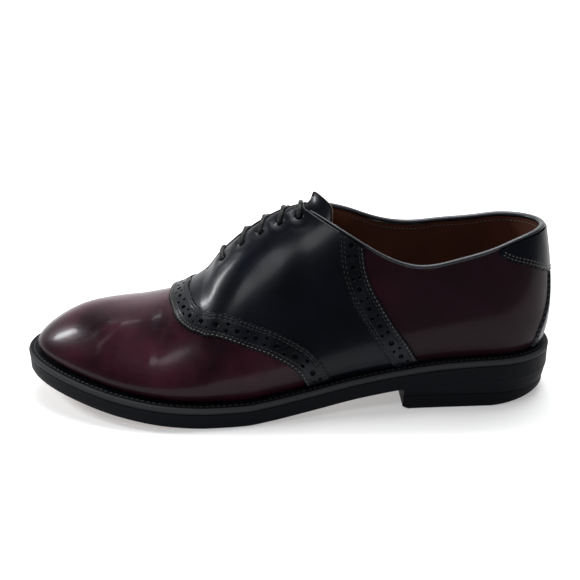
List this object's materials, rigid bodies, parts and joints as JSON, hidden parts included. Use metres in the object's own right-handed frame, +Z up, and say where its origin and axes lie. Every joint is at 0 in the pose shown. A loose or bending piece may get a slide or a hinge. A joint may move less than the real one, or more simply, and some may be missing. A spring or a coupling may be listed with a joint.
{
  "type": "saddle shoe",
  "caption": "Welted leather saddle shoe for the left foot, with laces, pinked saddle strips, heel tab and stacked heel.",
  "frame": {"origin": "on the floor, on the flat of the heel's underside under the middle of the heel", "axes": "-X towards the toe, +X towards the back of the heel, -Y towards the outer (lateral) side of the foot, +Y towards its inner (medial) side, +Z up"},
  "size_m": [0.2986, 0.1085, 0.1159],
  "materials": {
    "burgundy_leather": "polished burgundy calf",
    "black_leather": "polished black calf",
    "black_strip_leather": "black calf, slightly duller",
    "black_edge": "black edge ink on leather",
    "heel_rubber": "matt rubber",
    "tan_leather": "unpolished lining leather",
    "waxed_lace": "waxed cotton cord"
  },
  "bodies": {
    "root": {"upper": "burgundy_leather", "saddle": "black_leather", "vamp_strip": "black_strip_leather", "quarter_strip_outer": "black_strip_leather", "quarter_strip_inner": "black_strip_leather", "heel_tab": "black_leather", "backstay": "black_leather", "collar_binding": "black_leather", "tongue": "black_leather", "lace_bar": "waxed_lace", "lace_crossing_1": "waxed_lace", "lace_crossing_2": "waxed_lace", "lace_crossing_3": "waxed_lace", "lace_crossing_4": "waxed_lace", "insole": "tan_leather", "welt": "black_edge", "outsole": "black_edge", "heel": "black_edge", "top_lift": "heel_rubber"}
  },
  "joints": []
}
